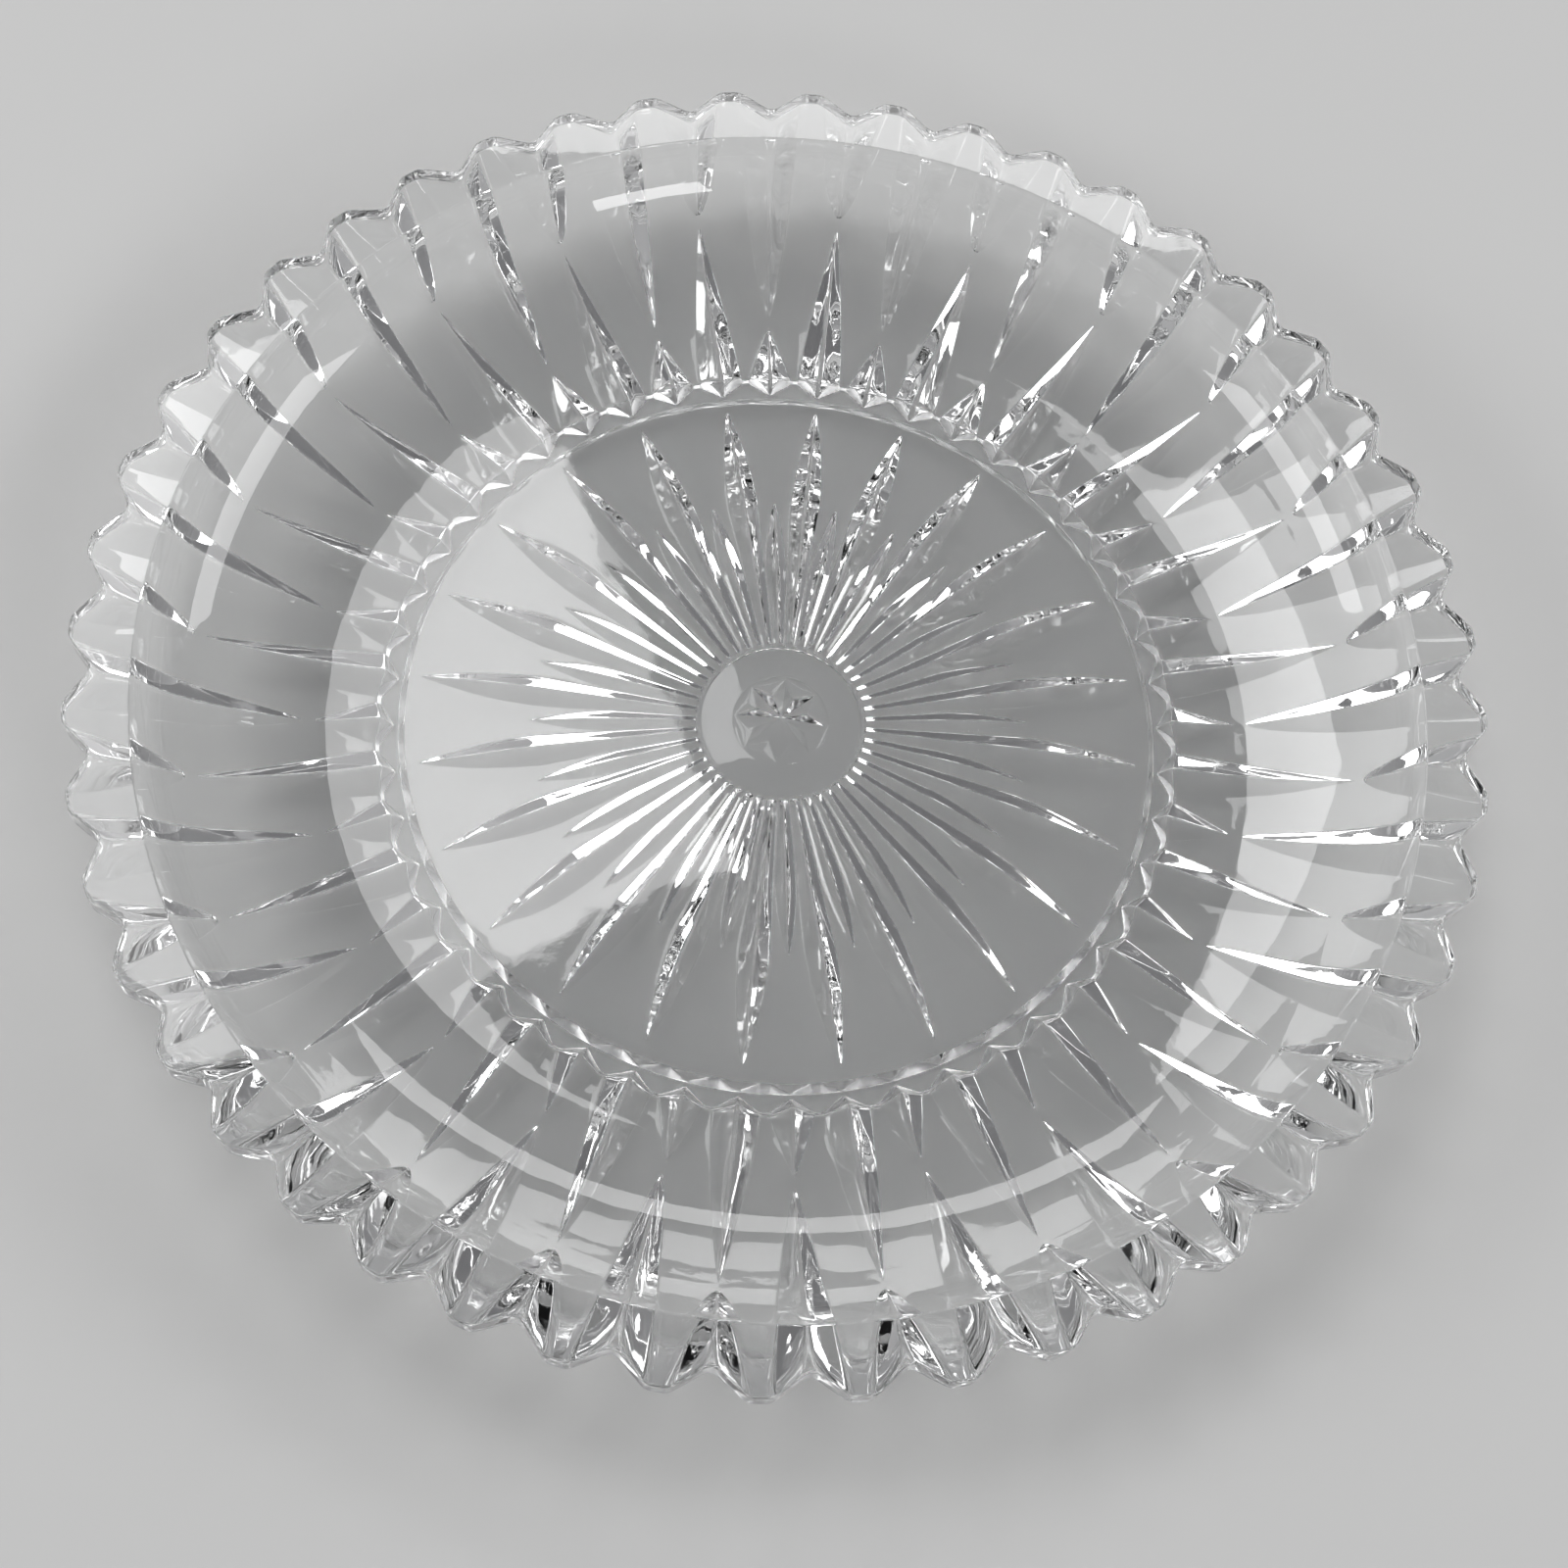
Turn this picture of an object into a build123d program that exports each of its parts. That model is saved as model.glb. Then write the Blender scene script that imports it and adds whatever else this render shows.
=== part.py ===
"""Large shallow dish of clear pressed glass, made in one piece in a two-part mould.

Frame: millimetres, +Z up, origin at the centre of the circle that the dish stands on.
A long petal of the sunburst lies on the +X axis. The inside is a smooth turned surface.
All of the pattern is on the outside: V grooves, 24 of each kind, whose half-width is
given along the radius and whose depth is a fixed share of that half-width.
"""
import os
from math import cos, radians, sin, sqrt, tan

from build123d import *

# ---- pattern ----
REPEATS = 24                    # grooves of each kind round the dish
PITCH = 360 / REPEATS           # degrees from one long petal to the next
HALF_PITCH = PITCH / 2          # degrees from a long petal to the short one beside it

# ---- turned body ----
RIM_RADIUS = 150.0              # to the noses of the teeth
RIM_BAND = 7.0                  # upright band round the noses
RIM_FALL = 0.6                  # fall of the flat top from its inner edge to the noses
MOUTH_RADIUS = 136.1            # inner edge of the flat top
INSIDE_DEPTH = 23.2             # from the inner edge of the top down to the floor
FLOOR_THICKNESS = 4.8
FLOOR_RADIUS = 92.0             # the flat floor runs smoothly into the wall here
WALL_BEND_RADIUS = 124.0        # where the low wall turns into the steep one
WALL_BEND_RISE = 8.1            # height of that turn above the floor
OUTER_TURN_RADIUS = 88.0        # lowest point of the outside wall
OUTER_TURN_HEIGHT = 2.0         # height of that point above the table

# ---- foot ring ----
RECESS_RADIUS = 82.2            # of the sunk, patterned underside
RECESS_DEPTH = 4.8              # from the table up to that underside
RECESS_DRAFT = 18.0             # degrees, lean of the recess wall from upright
FOOT_RADIUS = 87.7              # standing edge between two grooves
FOOT_NOTCH = 3.2                # how far a groove bites into the standing edge
FOOT_NOTCH_ANGLE = 3.1          # degrees, half the width of that bite
FOOT_FLARE = 25.0               # degrees, lean of the foot's side from upright

# ---- sunburst on the underside ----
MEDALLION_RADIUS = 19.0         # inner ends of the petals
MEDALLION_STEP_RADIUS = 17.6
MEDALLION_STEP = 0.4            # depth of the plain round field in the middle
PETAL_RIDGE = 0.3               # width of the ridge left between two petals
PETAL_DEPTH_RATIO = 0.82        # depth over half-width
LONG_PETAL_FULL = 54.0          # radius to which a long petal keeps its full angle
LONG_PETAL_TIP = 79.8
SHORT_PETAL_FULL = 37.0
SHORT_PETAL_TIP = 55.5
PETAL_BULGE = 2.0               # power of the taper at the tip: 1 is straight

# ---- star in the medallion ----
STAR_POINTS = 8
STAR_RADIUS = 9.9
STAR_WAIST = 6.2                # radius of the star's inner corners
STAR_DEPTH = 2.6
STAR_FIELD_RADIUS = 10.7        # small round field that the star is sunk into
STAR_FIELD_STEP = 0.25

# ---- wall grooves that start at the foot ----
BASE_START = 83.8               # radius of the blunt ends, inside the foot ring
BASE_DEPTH_RATIO = 0.82
LONG_BASE_TIP = 128.0
LONG_BASE_HALF_WIDTH = 5.0
LONG_BASE_BULGE = 1.6
SHORT_BASE_TIP = 102.5
SHORT_BASE_HALF_WIDTH = 4.8
SHORT_BASE_BULGE = 1.15

# ---- wall grooves that run out through the rim ----
RIM_HALF_WIDTH = 7.6            # at the noses
RIM_DEPTH_RATIO = 0.75
RIM_SWING = 14.0                # over this last stretch the groove turns to face outwards
LONG_RIM_TIP = 104.8
LONG_RIM_BULGE = 0.72
SHORT_RIM_TIP = 130.0
SHORT_RIM_BULGE = 0.6

# ---- cutter details ----
OVERCUT = 1.0                   # how far a cutter stands out of the surface it cuts
ROOT = 0.3                      # how far the foot's block is sunk above the deepest groove
RUN_OUT = 0.6                   # how far a cutter runs on past the tip of its groove
PETAL_STEPS = 5                 # sections in the curved end of a petal
WALL_STEPS = 6                  # sections along a wall groove

# ---- sizes that follow ----
floor_top = RECESS_DEPTH + FLOOR_THICKNESS
rim_top = floor_top + INSIDE_DEPTH
nose_top = rim_top - RIM_FALL
band_foot = nose_top - RIM_BAND
wall_run = RIM_RADIUS - OUTER_TURN_RADIUS
wall_rise = band_foot - OUTER_TURN_HEIGHT
wall_radius = (wall_run ** 2 + wall_rise ** 2) / (2 * wall_rise)
recess_lean = tan(radians(RECESS_DRAFT))


def outside(radius):
    """Height of the uncut outside at a radius, and its slope as (sine, cosine)."""
    across = max(radius - OUTER_TURN_RADIUS, 0) / wall_radius
    up = sqrt(1 - across ** 2)
    return OUTER_TURN_HEIGHT + wall_radius * (1 - up), across, up


def turned_body():
    """The dish before any groove: its half section turned about Z."""
    floor_edge = (FLOOR_RADIUS, floor_top)
    bend = (WALL_BEND_RADIUS, floor_top + WALL_BEND_RISE)
    mouth = (MOUTH_RADIUS, rim_top)
    nose = (RIM_RADIUS, nose_top)
    nose_foot = (RIM_RADIUS, band_foot)
    turn = (OUTER_TURN_RADIUS, OUTER_TURN_HEIGHT)
    recess_low = (RECESS_RADIUS + (RECESS_DEPTH - OUTER_TURN_HEIGHT) * recess_lean, OUTER_TURN_HEIGHT)
    recess_high = (RECESS_RADIUS, RECESS_DEPTH)
    low_wall = TangentArc(floor_edge, bend, tangent=(1, 0))
    outline = [
        Line((0, floor_top), floor_edge),
        low_wall,
        TangentArc(bend, mouth, tangent=low_wall % 1),
        Line(mouth, nose),
        Line(nose, nose_foot),
        TangentArc(turn, nose_foot, tangent=(1, 0)),
        Line(turn, recess_low),
        Line(recess_low, recess_high),
        Line(recess_high, (0, RECESS_DEPTH)),
        Line((0, RECESS_DEPTH), (0, floor_top)),
    ]
    section = Plane.XZ * make_face(Curve() + outline)
    return revolve(section, Axis.Z)


def wedge(sections):
    """A groove cutter along +X. Each section is an outer point (r, z), the direction
    (r, z) in which it looks out of the glass, a half-width and a depth ratio."""
    triangles = []
    for (r, z), (out_r, out_z), half_width, ratio in sections:
        depth = half_width * ratio
        reach = half_width + OVERCUT / ratio
        keel = (r - depth * out_r, 0, z - depth * out_z)
        left = (r + OVERCUT * out_r, reach, z + OVERCUT * out_z)
        right = (r + OVERCUT * out_r, -reach, z + OVERCUT * out_z)
        triangles.append(Wire.make_polygon([keel, left, right]))
    return Solid.make_loft(triangles, ruled=True)


def petal(full_radius, tip_radius):
    """Sunburst groove: full angle out to full_radius, then convex sides to a point."""

    def full_width(radius):
        return radius * tan(radians(HALF_PITCH / 2)) - PETAL_RIDGE / 2

    sections = [(MEDALLION_RADIUS, full_width(MEDALLION_RADIUS))]
    for step in range(PETAL_STEPS):
        along = step / PETAL_STEPS
        radius = full_radius + along * (tip_radius - full_radius)
        sections.append((radius, full_width(full_radius) * (1 - along ** PETAL_BULGE)))
    sections.append((tip_radius, 0))
    end_taper = sections[-2][1] / (tip_radius - sections[-2][0])
    sections.append((tip_radius + RUN_OUT, -RUN_OUT * end_taper))
    return wedge([((radius, RECESS_DEPTH), (0, -1), width, PETAL_DEPTH_RATIO) for radius, width in sections])


def base_groove(tip_radius, half_width, bulge):
    """Wall groove: blunt inside the foot ring, tapering outwards and up to a point."""
    sections = [(BASE_START, half_width)]
    for step in range(WALL_STEPS):
        along = step / WALL_STEPS
        radius = OUTER_TURN_RADIUS + along * (tip_radius - OUTER_TURN_RADIUS)
        sections.append((radius, half_width * (1 - along ** bulge)))
    end_taper = sections[-1][1] / (tip_radius - sections[-1][0])
    sections.append((tip_radius, 0))
    sections.append((tip_radius + RUN_OUT, -RUN_OUT * end_taper))
    placed = []
    for radius, width in sections:
        height, across, up = outside(radius)
        placed.append(((radius, height), (across, -up), width, BASE_DEPTH_RATIO))
    return wedge(placed)


def rim_groove(tip_radius, bulge):
    """Wall groove from a point to the rim, where it turns to face straight outwards."""
    placed = []
    first_width = RIM_HALF_WIDTH * (1 / WALL_STEPS) ** bulge
    end_taper = first_width * WALL_STEPS / (RIM_RADIUS - tip_radius)
    stations = [(tip_radius - RUN_OUT, -RUN_OUT * end_taper), (tip_radius, 0)]
    for step in range(1, WALL_STEPS + 1):
        along = step / WALL_STEPS
        radius = tip_radius + along * (RIM_RADIUS - tip_radius)
        stations.append((radius, RIM_HALF_WIDTH * along ** bulge))
    for radius, width in stations:
        height, across, up = outside(radius)
        swing = max(radius - (RIM_RADIUS - RIM_SWING), 0) / RIM_SWING
        out_r = across + swing * (1 - across)
        out_z = -sqrt(1 - out_r ** 2)
        placed.append(((radius, height), (out_r, out_z), width, RIM_DEPTH_RATIO))
    top = ((RIM_RADIUS, rim_top + OVERCUT), (1, 0), RIM_HALF_WIDTH, RIM_DEPTH_RATIO)
    return wedge(placed + [top])


def star():
    """Faceted star, sunk into the medallion: flat triangles that meet at its centre."""
    corners = []
    base = RECESS_DEPTH + MEDALLION_STEP + STAR_FIELD_STEP
    for corner in range(2 * STAR_POINTS):
        radius = STAR_WAIST if corner % 2 else STAR_RADIUS
        angle = radians(corner * 180 / STAR_POINTS)
        corners.append((radius * cos(angle), radius * sin(angle), base))
    rim = Wire.make_polygon(corners)
    return Solid.make_loft([rim, Vertex(0, 0, base + STAR_DEPTH)], ruled=True)


def medallion():
    """What is sunk into the middle of the underside: two round steps and the star."""
    deep = MEDALLION_STEP + STAR_FIELD_STEP
    field = Pos(0, 0, RECESS_DEPTH + MEDALLION_STEP / 2) * Cylinder(MEDALLION_STEP_RADIUS, MEDALLION_STEP)
    star_field = Pos(0, 0, RECESS_DEPTH + deep / 2) * Cylinder(STAR_FIELD_RADIUS, deep)
    return field + star_field + star()


def foot_ring():
    """Standing ring with a notched, flared side, solid up into the wall above it."""
    height = OUTER_TURN_HEIGHT + LONG_BASE_HALF_WIDTH * BASE_DEPTH_RATIO + ROOT
    outlines = []
    for level in (0, height):
        corners = []
        flare = level * tan(radians(FOOT_FLARE))
        for notch in range(2 * REPEATS):
            for turn, bite in ((-FOOT_NOTCH_ANGLE, 0), (0, FOOT_NOTCH), (FOOT_NOTCH_ANGLE, 0)):
                angle = radians(notch * HALF_PITCH + turn)
                radius = FOOT_RADIUS - bite + flare
                corners.append((radius * cos(angle), radius * sin(angle), level))
        outlines.append(Wire.make_polygon(corners))
    block = Solid.make_loft(outlines, ruled=True)
    wide = RECESS_RADIUS + RECESS_DEPTH * recess_lean
    recess = Pos(0, 0, RECESS_DEPTH / 2) * Cone(wide, RECESS_RADIUS, RECESS_DEPTH)
    return block - recess


def ring_of(cutter, start):
    """Copies of one cutter round Z, the first at start degrees from +X."""
    return [Rot(0, 0, start + index * PITCH) * cutter for index in range(REPEATS)]


def glass_dish():
    """The whole dish, one solid."""
    dish = turned_body()
    base_grooves = ring_of(base_groove(LONG_BASE_TIP, LONG_BASE_HALF_WIDTH, LONG_BASE_BULGE), 0)
    base_grooves += ring_of(
        base_groove(SHORT_BASE_TIP, SHORT_BASE_HALF_WIDTH, SHORT_BASE_BULGE), HALF_PITCH
    )
    dish = dish - base_grooves
    dish = dish + foot_ring()
    grooves = ring_of(rim_groove(SHORT_RIM_TIP, SHORT_RIM_BULGE), 0)
    grooves += ring_of(rim_groove(LONG_RIM_TIP, LONG_RIM_BULGE), HALF_PITCH)
    grooves += ring_of(petal(LONG_PETAL_FULL, LONG_PETAL_TIP), 0)
    grooves += ring_of(petal(SHORT_PETAL_FULL, SHORT_PETAL_TIP), HALF_PITCH)
    dish = dish - grooves
    return dish - medallion()


os.makedirs("parts", exist_ok=True)
export_step(glass_dish(), "parts/glass_dish.step")
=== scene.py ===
"""Looks for the large pressed glass dish, in metres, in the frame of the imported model.

The dish is one closed mesh. It is built as rows of points, each row one turn round the
axis, from the middle of the underside out to the rim and back in over the inside.
"""
from math import cos, pi, radians, sin, sqrt, tan

import bmesh
import bpy
import numpy as np
from mathutils import Matrix, Vector


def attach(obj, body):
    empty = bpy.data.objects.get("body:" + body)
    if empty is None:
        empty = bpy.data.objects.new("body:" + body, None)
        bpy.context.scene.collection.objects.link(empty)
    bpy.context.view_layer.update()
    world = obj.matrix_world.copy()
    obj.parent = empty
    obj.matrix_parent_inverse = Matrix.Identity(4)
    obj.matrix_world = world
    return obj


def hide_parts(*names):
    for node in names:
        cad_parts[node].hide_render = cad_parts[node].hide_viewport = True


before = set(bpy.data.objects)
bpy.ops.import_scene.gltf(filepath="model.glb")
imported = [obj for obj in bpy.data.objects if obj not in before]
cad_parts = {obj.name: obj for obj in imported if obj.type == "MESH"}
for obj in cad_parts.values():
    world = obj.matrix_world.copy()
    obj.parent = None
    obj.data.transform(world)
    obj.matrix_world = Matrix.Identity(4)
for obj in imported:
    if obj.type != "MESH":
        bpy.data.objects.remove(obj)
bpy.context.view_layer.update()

MM = 0.001

# ---- pattern ----
REPEATS = 24                        # grooves of each kind round the dish
PITCH = 2 * pi / REPEATS
HALF_PITCH = PITCH / 2

# ---- turned body, mm ----
RIM_RADIUS = 150.0
RIM_BAND = 7.0
RIM_FALL = 0.6
MOUTH_RADIUS = 136.1
INSIDE_DEPTH = 23.2
FLOOR_THICKNESS = 4.8
FLOOR_RADIUS = 92.0
WALL_BEND = (124.0, 8.1)            # radius, and height above the floor
OUTER_TURN_RADIUS = 88.0
OUTER_TURN_HEIGHT = 2.0

# ---- foot ring, mm ----
RECESS_RADIUS = 82.2
RECESS_DEPTH = 4.8
RECESS_DRAFT = tan(radians(18.0))
FOOT_RADIUS = 87.7
FOOT_NOTCH = 3.2
FOOT_NOTCH_ANGLE = radians(3.1)
FOOT_FLARE = tan(radians(25.0))

# ---- sunburst, mm: (radius to which the full angle is kept, tip radius) ----
MEDALLION_RADIUS = 19.0
MEDALLION_STEP_RADIUS = 17.6
MEDALLION_STEP = 0.4
PETAL_RIDGE = 0.3
PETAL_BULGE = 2.0
PETAL_DEPTH_RATIO = 0.82
LONG_PETAL = (54.0, 79.8)
SHORT_PETAL = (37.0, 55.5)

# ---- star, mm ----
STAR_POINTS = 8
STAR_STEP = 2 * pi / STAR_POINTS
STAR_RADIUS = 9.9
STAR_WAIST = 6.2
STAR_DEPTH = 2.6
STAR_FIELD_RADIUS = 10.7
STAR_FIELD_STEP = 0.25

# ---- wall grooves, mm ----
BASE_DEPTH_RATIO = 0.82
LONG_BASE = (128.0, 5.0, 1.6)       # tip radius, half-width at the foot, bulge
SHORT_BASE = (102.5, 4.8, 1.15)
RIM_HALF_WIDTH = 7.6
RIM_DEPTH_RATIO = 0.75
RIM_SWING = 14.0
LONG_RIM = (104.8, 0.72)            # tip radius, bulge
SHORT_RIM = (130.0, 0.6)

# ---- softness that the mould and the fire polish leave ----
GROOVE_SOFTNESS = 0.12              # rounded part of a groove's bottom and edges, over its half-width
RIM_SOFTNESS = 0.24                 # the same at the rim
STEP_SOFTNESS = 0.12                # half the run of a small step, mm
EDGE_ROUND = 0.6                    # radius of the outer top edge, mm
BAND_ROUND = 0.8                    # radius of the edge below the band, mm
MOUTH_ROUND = 0.55                   # radius of the inner top edge, mm

# ---- columns across one half sector: groove, land, groove ----
GROOVE_COLUMNS = 7
LAND_COLUMNS = 3
HALF_COLUMNS = 2 * GROOVE_COLUMNS + LAND_COLUMNS
NO_GROOVE = np.zeros(GROOVE_COLUMNS)
NO_LAND = np.zeros(LAND_COLUMNS)
HALF_PICK = np.concatenate([np.arange(HALF_COLUMNS), np.arange(HALF_COLUMNS)[-2:0:-1]])
PICK = np.tile(HALF_PICK, REPEATS)
COUNT = len(PICK)
EVEN = np.linspace(0, HALF_PITCH, HALF_COLUMNS)

# ---- sizes that follow, mm ----
floor_top = RECESS_DEPTH + FLOOR_THICKNESS
rim_top = floor_top + INSIDE_DEPTH
nose_top = rim_top - RIM_FALL
band_foot = nose_top - RIM_BAND
wall_run = RIM_RADIUS - OUTER_TURN_RADIUS
wall_rise = band_foot - OUTER_TURN_HEIGHT
wall_radius = (wall_run ** 2 + wall_rise ** 2) / (2 * wall_rise)


# ---------------------------------------------------------------- pattern
def groove_shares(soft):
    """Places of the columns across half a groove, as shares of its half-width."""
    return np.array([0, soft / 2, soft, 0.55, 1 - soft / 2, 1, 1 + soft / 2])


def depth_shares(soft):
    """Depths of grooves A and C at the columns, as shares of their full depths."""
    t = groove_shares(soft)
    depth = np.where(t < soft, 1 - soft / 2 - t ** 2 / (2 * soft), 1 - t)
    depth = np.where(t > 1 - soft / 2, (1 + soft / 2 - t) ** 2 / (2 * soft), depth)
    return (
        np.concatenate([depth, NO_LAND, NO_GROOVE]),
        np.concatenate([NO_GROOVE, NO_LAND, depth[::-1]]),
    )


def half_sector(width_a, width_c, radius, soft=GROOVE_SOFTNESS):
    """Angles of the columns, from the middle of groove A to the middle of groove C."""
    angles_a = groove_shares(soft) * width_a / radius
    angles_c = HALF_PITCH - groove_shares(soft)[::-1] * width_c / radius
    land = np.linspace(angles_a[-1], angles_c[0], LAND_COLUMNS + 2)[1:-1]
    return np.concatenate([angles_a, land, angles_c])


def outside(radius):
    """Height of the uncut outside at a radius, and its slope as (sine, cosine)."""
    across = max(radius - OUTER_TURN_RADIUS, 0) / wall_radius
    up = sqrt(1 - across ** 2)
    return OUTER_TURN_HEIGHT + wall_radius * (1 - up), across, up


def petal_width(radius, shape):
    """Half-width of a petal of the sunburst."""
    full, tip = shape
    width = min(radius, full) * tan(HALF_PITCH / 2) - PETAL_RIDGE / 2
    along = min(max(radius - full, 0) / (tip - full), 1)
    return width * (1 - along ** PETAL_BULGE)


def base_width(radius, shape):
    """Half-width of a wall groove that starts at the foot."""
    tip, width, bulge = shape
    along = min(max(radius - OUTER_TURN_RADIUS, 0) / (tip - OUTER_TURN_RADIUS), 1)
    return width * (1 - along ** bulge)


def rim_width(radius, shape):
    """Half-width of a wall groove that runs out through the rim."""
    tip, bulge = shape
    return RIM_HALF_WIDTH * (max(radius - tip, 0) / (RIM_RADIUS - tip)) ** bulge


def rim_swing(radius):
    """How far a groove has turned to face straight outwards: 0 on the wall, 1 at the rim."""
    return max(radius - (RIM_RADIUS - RIM_SWING), 0) / RIM_SWING


def wall_groove(radius, base_shape, rim_shape, share):
    """Half-width of the groove on one axis at a radius, and its cut inwards and upwards by column."""
    height, across, up = outside(radius)
    if radius <= base_shape[0]:
        width = base_width(radius, base_shape)
        deep = width * BASE_DEPTH_RATIO * share
        return width, deep * across, deep * up
    width = rim_width(radius, rim_shape)
    deep = width * RIM_DEPTH_RATIO * share
    out_r = across + rim_swing(radius) * (1 - across)
    return width, deep * out_r, deep * sqrt(1 - out_r ** 2)


# ---------------------------------------------------------------- rows of points
rows = []


def add_row(radius, height, angles=EVEN):
    """One turn of points. Radius and height are numbers, or one value for each column."""
    sectors = np.repeat(np.arange(REPEATS), len(HALF_PICK)) * PITCH
    mirrored = np.concatenate([angles, PITCH - angles[-2:0:-1]])
    turn = sectors + np.tile(mirrored, REPEATS)
    r = (radius + 0 * angles)[PICK]
    z = (height + 0 * angles)[PICK]
    rows.append(np.stack([r * np.cos(turn), r * np.sin(turn), z], axis=1) * MM)


def add_star_row(star_share, circle_radius, circle_share, height):
    """One turn of points on the star's outline scaled, or part of the way out to a circle."""
    turn = np.arange(COUNT) * 2 * pi / COUNT
    inside = np.abs((turn + STAR_STEP / 2) % STAR_STEP - STAR_STEP / 2)
    waist = STAR_WAIST * np.array([cos(STAR_STEP / 2), sin(STAR_STEP / 2)])
    edge = waist - np.array([STAR_RADIUS, 0])
    outline = STAR_RADIUS * edge[1] / (np.cos(inside) * edge[1] - np.sin(inside) * edge[0])
    r = star_share * outline + circle_share * (circle_radius - outline)
    rows.append(np.stack([r * np.cos(turn), r * np.sin(turn), height + 0 * r], axis=1) * MM)


def underside_middle():
    """The star, its round field and the plain field round that."""
    field = RECESS_DEPTH + MEDALLION_STEP
    star_field = field + STAR_FIELD_STEP
    for share in (0.03, 0.3, 0.6, 0.9, 0.985):
        add_star_row(share, 0, 0, star_field + STAR_DEPTH * (1 - share))
    for share in (0.04, 0.5, 1.0):
        add_star_row(1, STAR_FIELD_RADIUS - STEP_SOFTNESS, share, star_field)
    add_row(STAR_FIELD_RADIUS + STEP_SOFTNESS, field)
    add_row(MEDALLION_STEP_RADIUS - STEP_SOFTNESS, field)
    add_row(MEDALLION_STEP_RADIUS + STEP_SOFTNESS, RECESS_DEPTH)


def sunburst():
    """Two rings of V grooves in the flat underside, from the medallion out to their tips."""
    start_a = petal_width(MEDALLION_RADIUS, LONG_PETAL)
    start_c = petal_width(MEDALLION_RADIUS, SHORT_PETAL)
    start = half_sector(start_a, start_c, MEDALLION_RADIUS)
    add_row(MEDALLION_RADIUS - 2 * STEP_SOFTNESS, RECESS_DEPTH, start)
    stations = np.concatenate([
        np.linspace(MEDALLION_RADIUS, SHORT_PETAL[0], 8),
        np.linspace(SHORT_PETAL[0], SHORT_PETAL[1], 13)[1:],
        np.linspace(SHORT_PETAL[1], LONG_PETAL[1], 18)[1:],
    ])
    share_a, share_c = depth_shares(GROOVE_SOFTNESS)
    for radius in stations:
        width_a = petal_width(radius, LONG_PETAL)
        width_c = petal_width(radius, SHORT_PETAL)
        deep = PETAL_DEPTH_RATIO * (width_a * share_a + width_c * share_c)
        add_row(radius, RECESS_DEPTH + deep, half_sector(width_a, width_c, radius))


def foot_ring():
    """Recess wall, notched standing edge and flared side, up to the blunt ends of the grooves."""
    ring_inside = RECESS_RADIUS + RECESS_DEPTH * RECESS_DRAFT
    add_row(RECESS_RADIUS - STEP_SOFTNESS, RECESS_DEPTH)
    add_row(RECESS_RADIUS + STEP_SOFTNESS * RECESS_DRAFT, RECESS_DEPTH - STEP_SOFTNESS)
    add_row(ring_inside - STEP_SOFTNESS * RECESS_DRAFT, STEP_SOFTNESS)
    add_row(ring_inside + STEP_SOFTNESS, 0)
    notch_width = FOOT_NOTCH_ANGLE * FOOT_RADIUS
    foot_angles = half_sector(notch_width, notch_width, FOOT_RADIUS)
    share_a, share_c = depth_shares(GROOVE_SOFTNESS)
    edge = FOOT_RADIUS - FOOT_NOTCH * (share_a + share_c)
    add_row(edge - STEP_SOFTNESS, 0, foot_angles)
    width_a = base_width(OUTER_TURN_RADIUS, LONG_BASE)
    width_c = base_width(OUTER_TURN_RADIUS, SHORT_BASE)
    meet_angles = half_sector(width_a, width_c, OUTER_TURN_RADIUS)
    meet = OUTER_TURN_HEIGHT + BASE_DEPTH_RATIO * (width_a * share_a + width_c * share_c)
    for share in (0.04, 0.35, 0.7, 0.96):
        height = share * meet
        add_row(edge + height * FOOT_FLARE, height, foot_angles + share * (meet_angles - foot_angles))
    add_row(edge + meet * FOOT_FLARE + STEP_SOFTNESS, meet, meet_angles)


def towards(start, end, count):
    """Stations from start to end, closest together at start."""
    return start + (end - start) * np.linspace(0, 1, count) ** 1.6


def outer_wall():
    """The curved outside with its four kinds of groove, out to the foot of the rim band."""
    stations = np.concatenate([
        np.linspace(OUTER_TURN_RADIUS + 1.2, SHORT_BASE[0], 12),
        towards(LONG_RIM[0], LONG_BASE[0] - 6, 12),
        np.linspace(LONG_BASE[0] - 6, LONG_BASE[0], 6)[1:],
        towards(SHORT_RIM[0], RIM_RADIUS - BAND_ROUND, 18),
    ])
    for radius in stations:
        soft = GROOVE_SOFTNESS + rim_swing(radius) * (RIM_SOFTNESS - GROOVE_SOFTNESS)
        share_a, share_c = depth_shares(soft)
        width_a, in_a, up_a = wall_groove(radius, LONG_BASE, SHORT_RIM, share_a)
        width_c, in_c, up_c = wall_groove(radius, SHORT_BASE, LONG_RIM, share_c)
        angles = half_sector(width_a, width_c, radius, soft)
        add_row(radius - in_a - in_c, outside(radius)[0] + up_a + up_c, angles)


def top_height(radius):
    """Height of the flat top, which falls a little from the mouth to the noses."""
    return rim_top - RIM_FALL * (radius - MOUTH_RADIUS) / (RIM_RADIUS - MOUTH_RADIUS)


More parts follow.
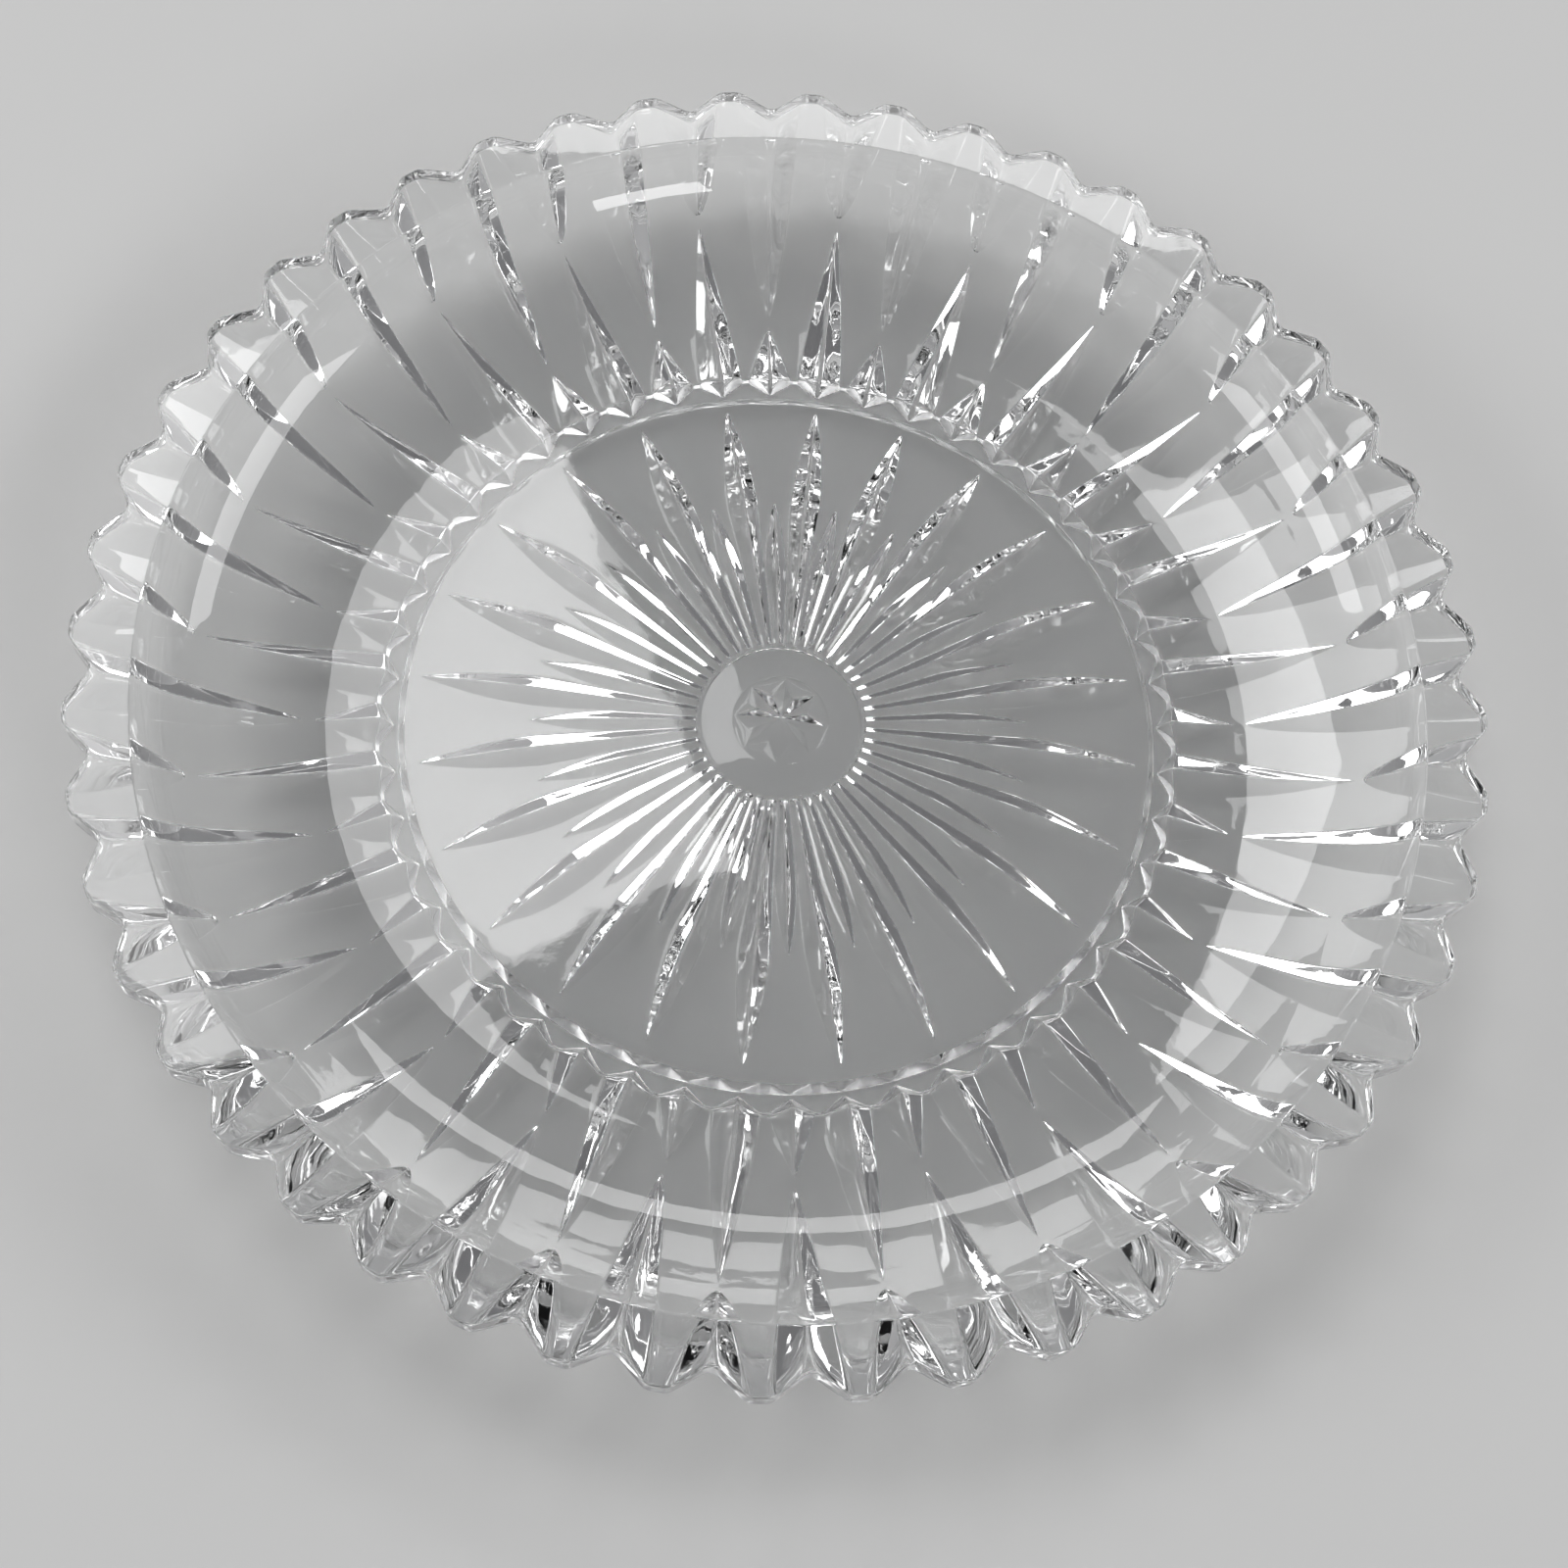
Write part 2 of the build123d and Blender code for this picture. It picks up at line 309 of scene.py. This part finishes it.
def rim():
    """Upright toothed band, its rounded edges, and the flat top in to the rounded mouth."""
    angles = half_sector(RIM_HALF_WIDTH, RIM_HALF_WIDTH, RIM_RADIUS, RIM_SOFTNESS)
    share_a, share_c = depth_shares(RIM_SOFTNESS)
    cut = RIM_DEPTH_RATIO * RIM_HALF_WIDTH * (share_a + share_c)
    edge = RIM_RADIUS - cut
    lean = pi / 2 - np.arcsin(wall_run / wall_radius)
    start = band_foot + BAND_ROUND * tan(lean / 2)
    for turn in np.linspace(lean, 0, 5):
        add_row(edge - BAND_ROUND * (1 - cos(turn)), start - BAND_ROUND * sin(turn), angles)
    add_row(edge, (start + nose_top - EDGE_ROUND) / 2, angles)
    for turn in np.linspace(0, pi / 2, 5):
        radius = edge - EDGE_ROUND * (1 - cos(turn))
        add_row(radius, top_height(radius) - EDGE_ROUND * (1 - sin(turn)), angles)
    inner = edge - EDGE_ROUND
    for share in (0.3, 0.75):
        radius = inner + share * (MOUTH_RADIUS + MOUTH_ROUND - inner)
        add_row(radius, top_height(radius), angles + share * (EVEN - angles))


def tangent_arc(start, end, slope, count):
    """Points on the arc from start to end that leaves start at a slope, and its end slope."""
    run, rise = end[0] - start[0], end[1] - start[1]
    chord_slope = np.arctan2(rise, run)
    end_slope = 2 * chord_slope - slope
    radius = sqrt(run * run + rise * rise) / (2 * sin(chord_slope - slope))
    points = [
        (start[0] + radius * (sin(at) - sin(slope)), start[1] + radius * (cos(slope) - cos(at)))
        for at in np.linspace(slope, end_slope, count)
    ]
    return points, end_slope


def inside():
    """Smooth inside, from the rounded mouth down the wall and in to the middle of the floor."""
    bend = (WALL_BEND[0], floor_top + WALL_BEND[1])
    low, slope = tangent_arc((FLOOR_RADIUS, floor_top), bend, 0, 16)
    steep, end_slope = tangent_arc(bend, (MOUTH_RADIUS, rim_top), slope, 24)
    centre = (MOUTH_RADIUS + MOUTH_ROUND * tan(end_slope / 2), rim_top - MOUTH_ROUND)
    for turn in np.linspace(0, end_slope, 6):
        add_row(centre[0] - MOUTH_ROUND * sin(turn), centre[1] + MOUTH_ROUND * cos(turn))
    for radius, height in reversed(low + steep[1:]):
        if height < rim_top - MOUTH_ROUND:
            add_row(radius, height)
    for radius in (FLOOR_RADIUS - 1, 80, 60, 40, 20, 6, 1):
        add_row(radius, floor_top)


# ---------------------------------------------------------------- mesh
def dish_mesh():
    """Closed mesh from the rows, with one point at the middle of the underside and one inside."""
    star_centre = RECESS_DEPTH + MEDALLION_STEP + STAR_FIELD_STEP + STAR_DEPTH
    points = np.vstack(rows + [[[0, 0, star_centre * MM], [0, 0, floor_top * MM]]])
    under_pole, inside_pole = len(points) - 2, len(points) - 1
    here = np.arange(COUNT)
    after = (here + 1) % COUNT
    faces = []
    for index in range(len(rows) - 1):
        near, far = index * COUNT, (index + 1) * COUNT
        faces += np.stack([near + after, far + after, far + here, near + here], axis=1).tolist()
    last = (len(rows) - 1) * COUNT
    for i, j in zip(here.tolist(), after.tolist()):
        faces.append((under_pole, j, i))
        faces.append((inside_pole, last + i, last + j))
    mesh = bpy.data.meshes.new("cut_glass")
    mesh.from_pydata(points.tolist(), [], faces)
    work = bmesh.new()
    work.from_mesh(mesh)
    bmesh.ops.remove_doubles(work, verts=work.verts, dist=0.002 * MM)
    bmesh.ops.recalc_face_normals(work, faces=work.faces)
    for face in work.faces:
        face.smooth = True
    work.to_mesh(mesh)
    work.free()
    return mesh


underside_middle()
sunburst()
foot_ring()
outer_wall()
rim()
inside()
dish = bpy.data.objects.new("cut_glass", dish_mesh())
bpy.context.scene.collection.objects.link(dish)
dish.modifiers.new("facet_normals", "WEIGHTED_NORMAL")
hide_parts("glass_dish")
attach(dish, "root")


# ---------------------------------------------------------------- materials
def new_material(name):
    material = bpy.data.materials.new(name)
    material.use_nodes = True
    return material, material.node_tree.nodes, material.node_tree.links


def noise(nodes, links, place, scale, detail, rough):
    """Noise in metres of the object's own space."""
    texture = nodes.new("ShaderNodeTexNoise")
    texture.inputs["Scale"].default_value = scale
    texture.inputs["Detail"].default_value = detail
    texture.inputs["Roughness"].default_value = rough
    links.new(place.outputs["Object"], texture.inputs["Vector"])
    return texture


def spread(nodes, links, source, low, high, to_low, to_high):
    """A value brought from one range to another, held inside it."""
    ramp = nodes.new("ShaderNodeMapRange")
    ramp.clamp = True
    for socket, value in zip(("From Min", "From Max", "To Min", "To Max"), (low, high, to_low, to_high)):
        ramp.inputs[socket].default_value = value
    links.new(source, ramp.inputs["Value"])
    return ramp.outputs["Result"]


def bump(nodes, links, source, height, under=None):
    """Relief from a texture, its full height in metres, over another relief."""
    node = nodes.new("ShaderNodeBump")
    node.inputs["Strength"].default_value = 1.0
    node.inputs["Distance"].default_value = height
    links.new(source, node.inputs["Height"])
    if under is not None:
        links.new(under, node.inputs["Normal"])
    return node.outputs["Normal"]


# Relief of the glass: scale, detail and roughness of the noise, and full height in mm.
WAVES = (45.0, 1.0, 0.4, 0.1)       # slow waves of a pressed surface
RIPPLE = (150.0, 1.0, 0.5, 0.015)
GRAIN = (420.0, 3.0, 0.55, 0.003)   # fine grain of the mould
GLASS_TINT = (0.985, 0.99, 0.99, 1)
GLASS_IOR = 1.52
POLISH_RANGE = (0.35, 0.7)          # part of the grain that dulls the polish
POLISH_ROUGHNESS = 0.03
SCUFF_RANGE = (0.05, 0.35)          # heights over which the scuff of the standing edge fades, mm
SCUFF_ROUGHNESS = 0.35


def clear_glass():
    """Fire-polished pressed glass: slow waves, fine mould grain, a scuffed standing edge."""
    material, nodes, links = new_material("clear_glass")
    surface = nodes["Principled BSDF"]
    surface.inputs["Base Color"].default_value = GLASS_TINT
    surface.inputs["Transmission Weight"].default_value = 1.0
    surface.inputs["IOR"].default_value = GLASS_IOR
    place = nodes.new("ShaderNodeTexCoord")
    waves = noise(nodes, links, place, *WAVES[:3])
    ripple = noise(nodes, links, place, *RIPPLE[:3])
    grain = noise(nodes, links, place, *GRAIN[:3])
    relief = bump(nodes, links, waves.outputs["Fac"], WAVES[3] * MM)
    relief = bump(nodes, links, ripple.outputs["Fac"], RIPPLE[3] * MM, relief)
    relief = bump(nodes, links, grain.outputs["Fac"], GRAIN[3] * MM, relief)
    links.new(relief, surface.inputs["Normal"])
    split = nodes.new("ShaderNodeSeparateXYZ")
    links.new(place.outputs["Object"], split.inputs["Vector"])
    polish = spread(nodes, links, grain.outputs["Fac"], *POLISH_RANGE, 0.0, POLISH_ROUGHNESS)
    scuff_low, scuff_high = SCUFF_RANGE
    scuff = spread(nodes, links, split.outputs["Z"], scuff_low * MM, scuff_high * MM, SCUFF_ROUGHNESS, 0.0)
    total = nodes.new("ShaderNodeMath")
    total.operation = "ADD"
    links.new(polish, total.inputs[0])
    links.new(scuff, total.inputs[1])
    links.new(total.outputs["Value"], surface.inputs["Roughness"])
    return material


dish.data.materials.append(clear_glass())


# ---------------------------------------------------------------- floor, light, camera
FLOOR_REACH = 4.0
FLOOR_GAP = 0.0002                  # the standing edge touches the floor only here and there
FLOOR_COLOUR = (0.62, 0.62, 0.615, 1)
FLOOR_ROUGHNESS = 0.7
HORIZON_COLOUR = (0.46, 0.46, 0.465, 1)
ZENITH_COLOUR = (0.14, 0.14, 0.145, 1)

floor_mesh = bpy.data.meshes.new("floor")
corners = [(x * FLOOR_REACH, y * FLOOR_REACH, -FLOOR_GAP) for x, y in ((-1, -1), (1, -1), (1, 1), (-1, 1))]
floor_mesh.from_pydata(corners, [], [(0, 1, 2, 3)])
floor = bpy.data.objects.new("floor", floor_mesh)
bpy.context.scene.collection.objects.link(floor)
floor_material, floor_nodes, _ = new_material("floor")
floor_nodes["Principled BSDF"].inputs["Base Color"].default_value = FLOOR_COLOUR
floor_nodes["Principled BSDF"].inputs["Roughness"].default_value = FLOOR_ROUGHNESS
floor.data.materials.append(floor_material)

# A studio with pale walls and a darker ceiling.
world = bpy.data.worlds.new("studio")
world.use_nodes = True
world_nodes, world_links = world.node_tree.nodes, world.node_tree.links
direction = world_nodes.new("ShaderNodeTexCoord")
parts = world_nodes.new("ShaderNodeSeparateXYZ")
walls = world_nodes.new("ShaderNodeMix")
walls.data_type = "RGBA"
walls.inputs["A"].default_value = HORIZON_COLOUR
walls.inputs["B"].default_value = ZENITH_COLOUR
world_links.new(direction.outputs["Generated"], parts.inputs["Vector"])
world_links.new(parts.outputs["Z"], walls.inputs["Factor"])
world_links.new(walls.outputs["Result"], world_nodes["Background"].inputs["Color"])
bpy.context.scene.world = world


# Angle by which the dish is turned about its own axis, seen from the room.
DISH_TURN = 0.19964 + radians(30)


def softbox(name, place, size, radiance):
    """Rectangular lamp that faces the dish, placed in the room, where +Y leads away from the camera.

    Its radiance is how bright it looks in a mirror.
    """
    place = Matrix.Rotation(-DISH_TURN, 4, "Z") @ Vector(place)
    light = bpy.data.lights.new(name, "AREA")
    light.shape = "RECTANGLE"
    light.size, light.size_y = size
    light.energy = radiance * pi * size[0] * size[1]
    lamp = bpy.data.objects.new(name, light)
    lamp.location = place
    lamp.rotation_euler = (-place).to_track_quat("-Z", "Y").to_euler()
    bpy.context.scene.collection.objects.link(lamp)


# Name, place in the room, size and radiance.
SOFTBOXES = (
    ("key", (-0.4, 0.68, 1.5), (0.7, 0.7), 4.4),
    ("back", (0.1, 1.35, 1.3), (0.9, 0.2), 5.0),
    ("front", (0.55, -1.05, 0.8), (0.35, 0.3), 8.0),
    ("left", (-1.2, -0.1, 0.7), (0.8, 0.5), 5.0),
    ("right", (1.2, 0.2, 0.8), (0.8, 0.5), 5.0),
)
for lamp_values in SOFTBOXES:
    softbox(*lamp_values)

# The camera is given by the turn and shift that bring the dish, its underside at height 0 and
# turned about its own axis, into the camera's space.
CAMERA_TURN = (-0.39499, 0.05595, -0.06686)
CAMERA_SHIFT = (-0.849, 13.086, -534.669)
FOCAL_SHARE = 1.54242              # focal length over the picture's width
SENSOR = 36.0
GLOSSY_BOUNCES = 12

turn_x, turn_y, turn_z = CAMERA_TURN
view = (
    Matrix.Translation(CAMERA_SHIFT)
    @ Matrix.Rotation(turn_z, 4, "Z")
    @ Matrix.Rotation(turn_y, 4, "Y")
    @ Matrix.Rotation(turn_x, 4, "X")
    @ Matrix.Translation((0, 0, -RECESS_DEPTH))
    @ Matrix.Rotation(DISH_TURN, 4, "Z")
)
place = view.inverted()
place.translation *= MM
lens = bpy.data.cameras.new("camera")
lens.sensor_width = SENSOR
lens.lens = FOCAL_SHARE * SENSOR
camera = bpy.data.objects.new("camera", lens)
camera.matrix_world = place
bpy.context.scene.collection.objects.link(camera)
bpy.context.scene.camera = camera
bpy.context.scene.view_settings.view_transform = "Standard"
# A total reflection inside the glass counts as a glossy bounce, and cut glass needs more than
# four of them: with fewer, facets of the rim come out black.
bpy.context.scene.cycles.glossy_bounces = GLOSSY_BOUNCES
